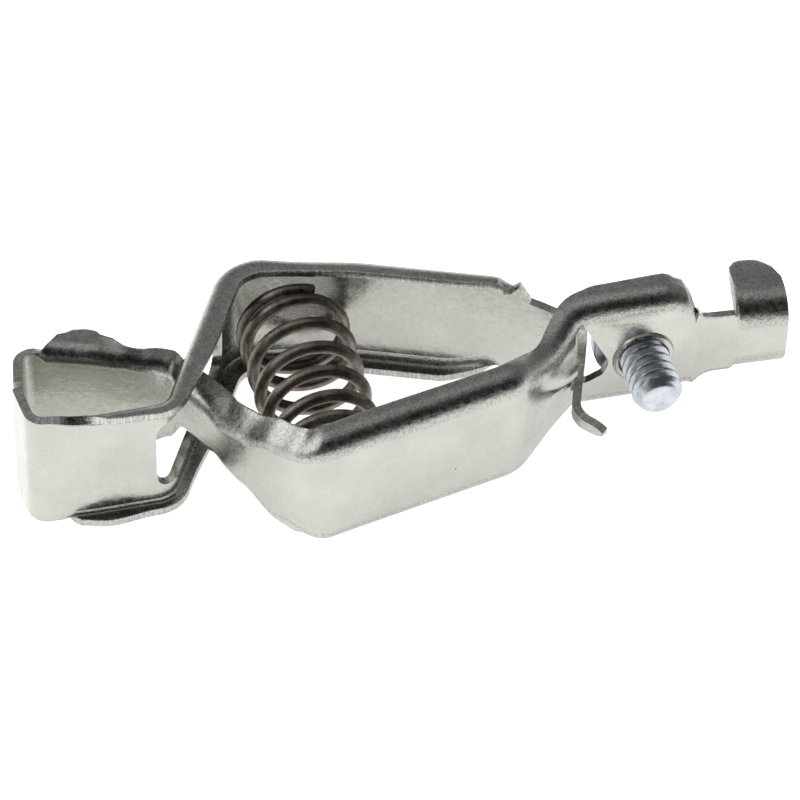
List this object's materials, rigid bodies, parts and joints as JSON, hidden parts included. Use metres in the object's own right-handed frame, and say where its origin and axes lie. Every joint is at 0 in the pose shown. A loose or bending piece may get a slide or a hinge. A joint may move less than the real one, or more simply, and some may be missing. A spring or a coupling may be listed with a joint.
{
  "type": "ground clamp",
  "caption": "Small spring-closed ground clamp: two stamped plated levers with flat jaws, a coil spring between the handles, a screw terminal and a wire crimp.",
  "frame": {"origin": "centre of the bounding box at the plane of the lowest strip edges", "axes": "+X from the jaw tips to the wire crimp, +Y from the necked lever's handle to the slotted lever's handle, +Z across the strip width"},
  "size_m": [0.0544, 0.019, 0.0098],
  "materials": {
    "plated_steel": "bright plated, satin, bare cut edges",
    "spring_steel": "dark brown drawn wire",
    "zinc_steel": "bluish zinc plate"
  },
  "bodies": {
    "necked_side": {"jaw_lever_necked": "plated_steel", "compression_spring": "spring_steel"},
    "slotted_side": {"jaw_lever_slotted": "plated_steel"},
    "screw": {"terminal_screw": "zinc_steel"}
  },
  "joints": [
    {"name": "jaw_pivot", "type": "hinge", "parent": "necked_side", "child": "slotted_side", "pos_m": [0.01243, 0.0008, 0.0035], "axis": [0, 0, 1], "range_deg": [0, 12], "stiffness_Nm_per_rad": 0.03, "springref_deg": -8.59, "deforming": ["compression_spring"]},
    {"name": "screw_travel", "type": "slide", "parent": "necked_side", "child": "screw", "axis": [-0.0654, 0.9979, 0], "range_m": [0, 0.0025]}
  ]
}
